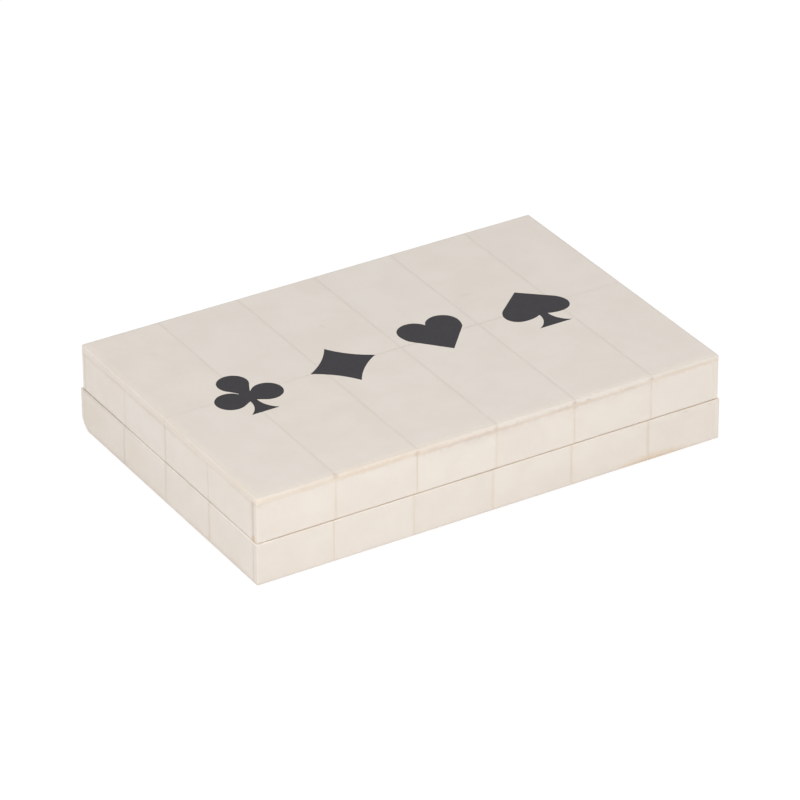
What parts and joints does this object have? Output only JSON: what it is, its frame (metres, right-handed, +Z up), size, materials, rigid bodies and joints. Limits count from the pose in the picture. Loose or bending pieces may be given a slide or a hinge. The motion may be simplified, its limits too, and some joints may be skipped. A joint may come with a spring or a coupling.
{
  "type": "card and dice box",
  "caption": "Flat rectangular bone-clad box with a lift-off lid, suit inlays, and felt-lined wells inside for playing cards and dice.",
  "frame": {"origin": "middle of the box's footprint, on the surface that its felt pad rests on", "axes": "+Z up, +X along the length, the front long side faces -Y"},
  "size_m": [0.18, 0.12, 0.0322],
  "materials": {
    "bone": "satin",
    "tan_resin": "matte",
    "black_resin": "satin",
    "core_wood": "matte",
    "lip_wood": "satin",
    "felt": "matte"
  },
  "bodies": {
    "base": {"base_back_tiles": "bone", "base_felt_pad": "felt", "base_front_tiles": "bone", "base_joint_filler": "tan_resin", "base_left_tiles": "bone", "base_panel": "core_wood", "base_right_tiles": "bone", "base_wall_back": "core_wood", "base_wall_front": "core_wood", "base_wall_left": "core_wood", "base_wall_right": "core_wood", "dice_well_lining": "felt", "divider_left": "lip_wood", "divider_right": "lip_wood", "left_card_well_lining": "felt", "lip_back": "lip_wood", "lip_front": "lip_wood", "lip_left": "lip_wood", "lip_right": "lip_wood", "right_card_well_lining": "felt"},
    "lid": {"club_inlay": "black_resin", "diamond_inlay": "black_resin", "heart_inlay": "black_resin", "lid_back_tiles": "bone", "lid_front_tiles": "bone", "lid_joint_filler": "tan_resin", "lid_left_tiles": "bone", "lid_lining": "felt", "lid_panel": "core_wood", "lid_rail_back": "core_wood", "lid_rail_front": "core_wood", "lid_rail_left": "core_wood", "lid_rail_right": "core_wood", "lid_right_tiles": "bone", "lid_top_tile_back_1": "bone", "lid_top_tile_back_2": "bone", "lid_top_tile_back_3": "bone", "lid_top_tile_back_4": "bone", "lid_top_tile_back_5": "bone", "lid_top_tile_back_6": "bone", "lid_top_tile_front_1": "bone", "lid_top_tile_front_2": "bone", "lid_top_tile_front_3": "bone", "lid_top_tile_front_4": "bone", "lid_top_tile_front_5": "bone", "lid_top_tile_front_6": "bone", "spade_inlay": "black_resin"}
  },
  "joints": [
    {"name": "lid_lift", "type": "slide", "parent": "base", "child": "lid", "axis": [0, 0, 1], "range_m": [0, 0.12]}
  ]
}
